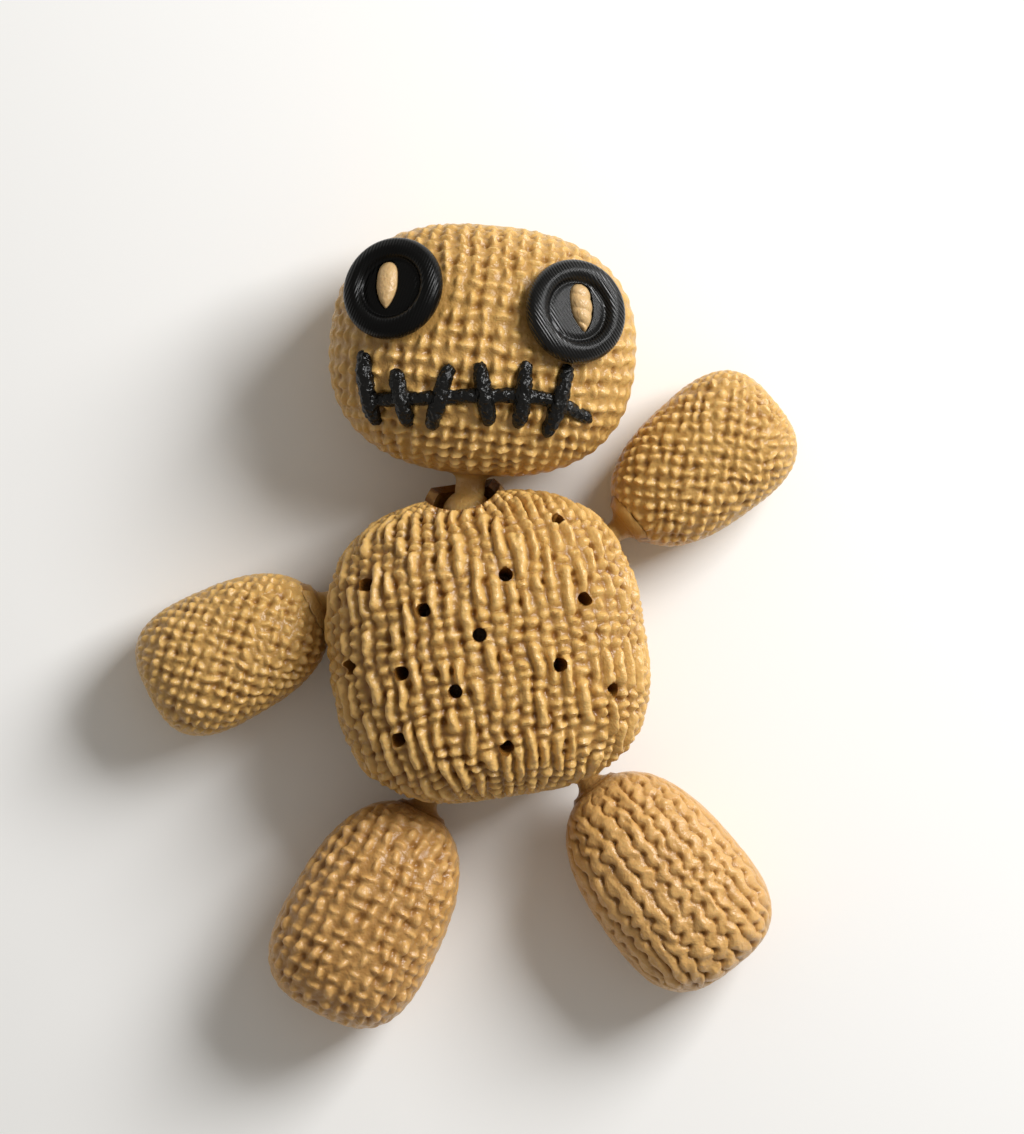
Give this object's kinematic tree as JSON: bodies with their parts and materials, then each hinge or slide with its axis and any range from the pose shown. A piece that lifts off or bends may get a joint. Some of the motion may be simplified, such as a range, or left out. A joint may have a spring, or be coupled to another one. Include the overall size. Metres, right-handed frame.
{
  "type": "articulated voodoo doll",
  "caption": "Small jointed voodoo doll with a burlap-weave skin, button eyes, a stitched mouth and pin holes in its front; head and limbs swivel in captive ball sockets.",
  "frame": {"origin": "middle of the torso's flat back, on the surface that the doll lies on", "axes": "+Z out of the doll's front, +Y up the torso towards the neck, +X to the right of the picture"},
  "size_m": [0.1077, 0.1249, 0.0328],
  "materials": {
    "tan_plastic": "printed in fine layers, with a soft silky shine",
    "black_plastic": "printed, glossy on the round edges",
    "stitch_tan": "printed, with a soft silky shine"
  },
  "bodies": {
    "torso": {"torso": "tan_plastic"},
    "head": {"head": "tan_plastic", "left_eye_button": "black_plastic", "right_eye_button": "black_plastic", "left_eye_thread": "stitch_tan", "right_eye_thread": "stitch_tan", "mouth_stitches": "black_plastic"},
    "left_arm": {"left_arm": "tan_plastic"},
    "right_arm": {"right_arm": "tan_plastic"},
    "left_leg": {"left_leg": "tan_plastic"},
    "right_leg": {"right_leg": "tan_plastic"}
  },
  "joints": [
    {"name": "neck", "type": "hinge", "parent": "torso", "child": "head", "pos_m": [0, 0.0206, 0.0105], "axis": [0, 0, 1], "range_deg": [-1.5, 29]},
    {"name": "left_shoulder", "type": "hinge", "parent": "torso", "child": "left_arm", "pos_m": [-0.0183, 0.0121, 0.0095], "axis": [0, 0, 1], "range_deg": [-50, 2.5]},
    {"name": "right_shoulder", "type": "hinge", "parent": "torso", "child": "right_arm", "pos_m": [0.0183, 0.0121, 0.0095], "axis": [0, 0, 1], "range_deg": [-50, 1.5]},
    {"name": "left_hip", "type": "hinge", "parent": "torso", "child": "left_leg", "pos_m": [-0.0097, -0.0184, 0.0095], "axis": [0, 0, 1], "range_deg": [-23, 24]},
    {"name": "right_hip", "type": "hinge", "parent": "torso", "child": "right_leg", "pos_m": [0.0097, -0.0184, 0.0095], "axis": [0, 0, 1], "range_deg": [-17, 29]}
  ]
}
